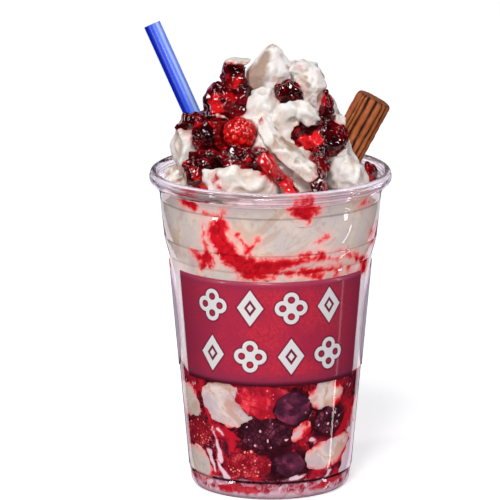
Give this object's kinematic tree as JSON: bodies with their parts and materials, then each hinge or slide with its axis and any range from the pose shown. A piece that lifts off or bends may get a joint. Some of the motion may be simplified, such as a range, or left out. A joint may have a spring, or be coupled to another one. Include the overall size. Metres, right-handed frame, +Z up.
{
  "type": "eton mess in a cup",
  "caption": "Eton mess: whipped cream, broken meringue, berries and compote in a clear plastic cup with a wrapped label, a blue straw and a ribbed chocolate stick.",
  "frame": {"origin": "centre of the cup's flat foot, on the surface it stands on", "axes": "+Z up along the cup's axis, -Y towards the front of the label, +X to the right seen from the front"},
  "size_m": [0.1005, 0.0982, 0.1871],
  "materials": {
    "cup": "clear thermoformed plastic, polished, faint lilac in its thick edges",
    "label": "crimson printed film wrapped round the wall, glossy, with plain cream-coloured motifs",
    "straw": "extruded blue plastic tube, slightly translucent, glossy",
    "chocolate": "folded milk chocolate, dull and crumbly, ribbed lengthwise",
    "cream": "whipped cream, soft and moist, stained pink where compote touches it",
    "meringue": "broken baked meringue, dry and pitted, with tan cracks",
    "compote": "dark red berry compote, wet and glossy, with seeds",
    "raspberry": "red drupelets, moist",
    "strawberry": "bright red flesh with fine golden seeds, moist",
    "bramble": "near-black purple drupelets, glossy",
    "currant": "dark purple skin, smooth and glossy"
  },
  "bodies": {
    "root": {"cup": "cup", "label_front": "label", "label_back": "label", "straw": "straw", "chocolate_stick": "chocolate", "cream": "cream", "cream_heap": "cream", "berry_layer": "compote", "meringue_peak": "meringue", "meringue_right": "meringue", "meringue_slab": "meringue", "meringue_sliver": "meringue", "meringue_rim": "meringue", "meringue_fleck": "meringue", "meringue_rear": "meringue", "meringue_rear_low": "meringue", "raspberry_top": "raspberry", "raspberry_rear": "raspberry", "bramble_rear": "bramble", "currant_rim": "currant", "compote_crest": "compote", "compote_left": "compote", "compote_pocket": "compote", "compote_right": "compote", "compote_front": "compote", "compote_rear": "compote", "compote_rear_left": "compote", "bramble_centre": "bramble", "bramble_right": "bramble", "bramble_side": "bramble", "bramble_back": "bramble", "raspberry_low": "raspberry", "raspberry_left": "raspberry", "raspberry_back": "raspberry", "raspberry_side": "raspberry", "currant_centre": "currant", "currant_low": "currant", "strawberry_front": "strawberry", "strawberry_back": "strawberry", "meringue_wide": "meringue", "meringue_corner": "meringue", "meringue_low": "meringue", "meringue_chip": "meringue", "meringue_back_high": "meringue", "meringue_back_low": "meringue", "cream_pocket_left": "cream", "cream_pocket_low": "cream", "cream_pocket_side": "cream", "ripple_front": "compote", "ripple_star": "compote", "ripple_low": "compote", "ripple_drip": "compote", "ripple_side": "compote", "ripple_back": "compote", "ripple_left": "compote"}
  },
  "joints": []
}
